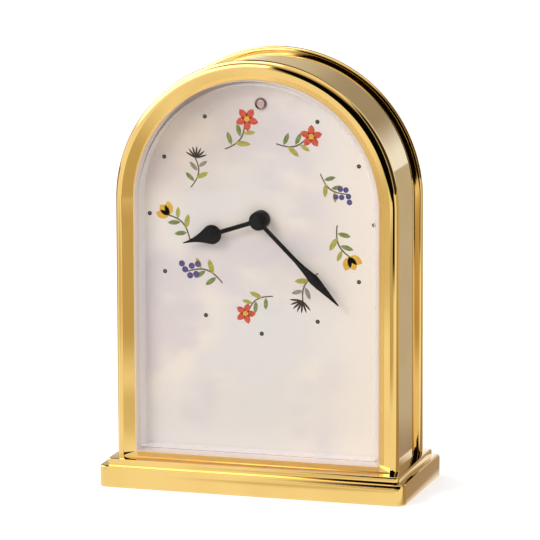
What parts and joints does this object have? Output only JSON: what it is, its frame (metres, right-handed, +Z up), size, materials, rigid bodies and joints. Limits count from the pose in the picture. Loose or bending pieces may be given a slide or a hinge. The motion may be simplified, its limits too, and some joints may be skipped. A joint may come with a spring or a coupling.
{
  "type": "arch-top table clock",
  "caption": "Arch-top polished brass table clock on a stepped base, with clear crystal, black hands, light sensor, sound unit and battery flap.",
  "frame": {"origin": "middle of the underside of the base, on the surface that the clock stands on", "axes": "+Z up, the dial faces -Y, +X to the right as seen from the front"},
  "size_m": [0.175, 0.08, 0.24],
  "materials": {
    "polished_brass": "polished",
    "felt": "matte",
    "steel": "satin",
    "clear_acrylic": "gloss",
    "dial_enamel": "satin",
    "nickel": "polished",
    "sensor_ceramic": "satin",
    "black_hands": "gloss",
    "black_moulding": "satin",
    "yellow_brass": "satin",
    "white_moulding": "satin",
    "red_moulding": "gloss",
    "copper": "satin",
    "green_board": "satin",
    "speaker_steel": "satin",
    "cone_paper": "matte",
    "cell_jacket": "satin"
  },
  "bodies": {
    "case": {"base_casting": "polished_brass", "front_frame": "polished_brass", "rear_frame": "polished_brass", "side_band": "polished_brass", "base_pad": "felt", "case_bolts": "steel", "dial_clips": "steel", "cover_screws": "steel", "motor_core": "steel", "battery_contacts": "steel", "crystal": "clear_acrylic", "dial_plate": "dial_enamel", "sensor_bezel": "nickel", "light_sensor": "sensor_ceramic", "movement_front_shell": "black_moulding", "movement_rear_shell": "black_moulding", "back_cover": "black_moulding", "battery_tray": "black_moulding", "volume_switch": "black_moulding", "push_switch": "black_moulding", "drive_block": "black_moulding", "dial_nut": "yellow_brass", "train_plate": "yellow_brass", "coil_bobbin": "white_moulding", "coil_winding": "copper", "movement_board": "green_board", "sound_board": "green_board", "speaker_basket": "speaker_steel", "speaker_magnet": "speaker_steel", "speaker_cone": "cone_paper", "battery_cells": "cell_jacket"},
    "minute_train": {"minute_arbor": "steel", "minute_hand": "black_hands", "hand_cap": "black_hands"},
    "hour_train": {"hour_wheel": "white_moulding", "hour_hand": "black_hands"},
    "intermediate_wheel": {"minute_wheel": "white_moulding"},
    "setting_shaft": {"set_arbor": "steel", "set_knob": "black_moulding"},
    "battery_flap": {"battery_door": "black_moulding"},
    "volume_grip": {"volume_slider": "white_moulding"},
    "button_cap": {"push_button": "red_moulding"}
  },
  "joints": [
    {"name": "minute_hand_spin", "type": "hinge", "parent": "case", "child": "minute_train", "pos_m": [0, 0, 0.1505], "axis": [0, 1, 0], "continuous": true},
    {"name": "hour_hand_spin", "type": "hinge", "parent": "case", "child": "hour_train", "pos_m": [0, 0, 0.1505], "axis": [0, 1, 0], "continuous": true},
    {"name": "intermediate_wheel_spin", "type": "hinge", "parent": "case", "child": "intermediate_wheel", "pos_m": [-0.0105, 0, 0.1505], "axis": [0, 1, 0], "continuous": true},
    {"name": "setting_knob_spin", "type": "hinge", "parent": "case", "child": "setting_shaft", "pos_m": [-0.01641, 0, 0.16073], "axis": [0, 1, 0], "continuous": true},
    {"name": "battery_flap_hinge", "type": "hinge", "parent": "case", "child": "battery_flap", "pos_m": [0, 0.02595, 0.0776], "axis": [1, 0, 0], "range_deg": [0, 100]},
    {"name": "volume_slide", "type": "slide", "parent": "case", "child": "volume_grip", "axis": [1, 0, 0], "range_m": [-0.003, 0.003]},
    {"name": "button_press", "type": "slide", "parent": "case", "child": "button_cap", "axis": [0, -1, 0], "range_m": [0, 0.0012], "stiffness_N_per_m": 400, "springref_m": -0.0005}
  ],
  "couplings": [
    {"joint": "hour_hand_spin", "follows": "minute_hand_spin", "ratio": 0.083333},
    {"joint": "intermediate_wheel_spin", "follows": "minute_hand_spin", "ratio": -0.33333},
    {"joint": "setting_knob_spin", "follows": "minute_hand_spin", "ratio": 0.66667}
  ]
}
